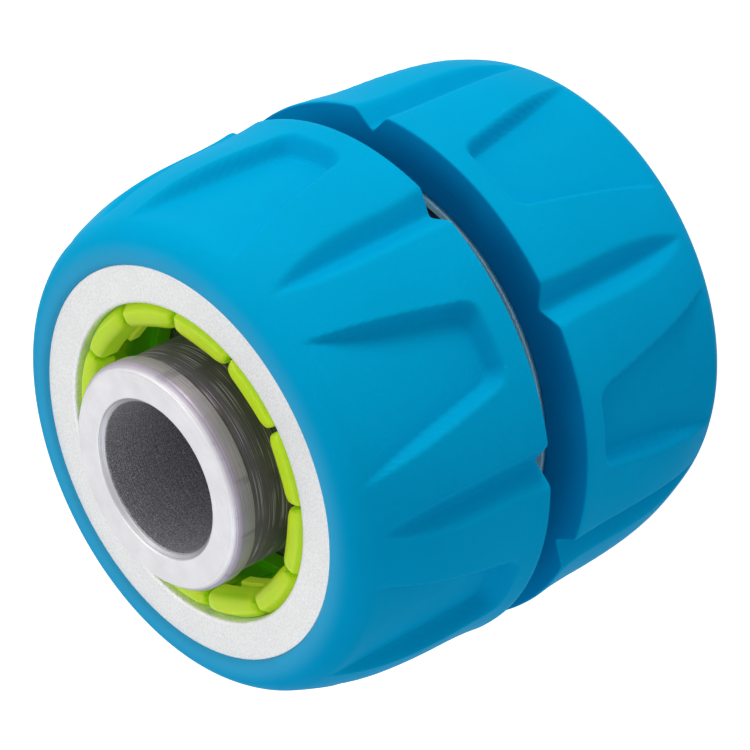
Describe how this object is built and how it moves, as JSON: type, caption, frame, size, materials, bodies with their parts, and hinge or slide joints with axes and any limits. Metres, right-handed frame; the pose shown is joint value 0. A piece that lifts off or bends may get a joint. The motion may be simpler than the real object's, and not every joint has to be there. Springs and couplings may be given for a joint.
{
  "type": "hose mender",
  "caption": "Straight hose mender: a metal joiner with a hose tail, a clamping collet and a screw-on nut with a soft ribbed grip at each end.",
  "frame": {"origin": "centre of the lower tail's mouth, on the axis", "axes": "+Z along the waterway, from the lower tail to the upper tail, which is the end the picture shows"},
  "size_m": [0.048, 0.048, 0.0507],
  "materials": {
    "joiner_metal": "turned and plated, with a polished bead",
    "nut_metal": "fine sand-blasted",
    "soft_grip": "satin soft touch",
    "collet_plastic": "smooth moulded"
  },
  "bodies": {
    "joiner": {"joiner_body": "joiner_metal"},
    "upper_clamp": {"upper_collet": "collet_plastic"},
    "upper_cap": {"upper_nut": "nut_metal", "upper_grip": "soft_grip"},
    "lower_clamp": {"lower_collet": "collet_plastic"},
    "lower_cap": {"lower_nut": "nut_metal", "lower_grip": "soft_grip"}
  },
  "joints": [
    {"name": "upper_travel", "type": "slide", "parent": "joiner", "child": "upper_clamp", "axis": [0, 0, 1], "range_m": [0, 0.009]},
    {"name": "upper_screw", "type": "hinge", "parent": "upper_clamp", "child": "upper_cap", "pos_m": [0, 0, 0.0412], "axis": [0, 0, 1], "range_deg": [0, 1080]},
    {"name": "lower_travel", "type": "slide", "parent": "joiner", "child": "lower_clamp", "axis": [0, 0, -1], "range_m": [0, 0.009]},
    {"name": "lower_screw", "type": "hinge", "parent": "lower_clamp", "child": "lower_cap", "pos_m": [0, 0, 0.0095], "axis": [0, 0, -1], "range_deg": [0, 1080]}
  ],
  "couplings": [
    {"joint": "upper_travel", "follows": "upper_screw", "m_per_rad": 0.00047746},
    {"joint": "lower_travel", "follows": "lower_screw", "m_per_rad": 0.00047746}
  ]
}
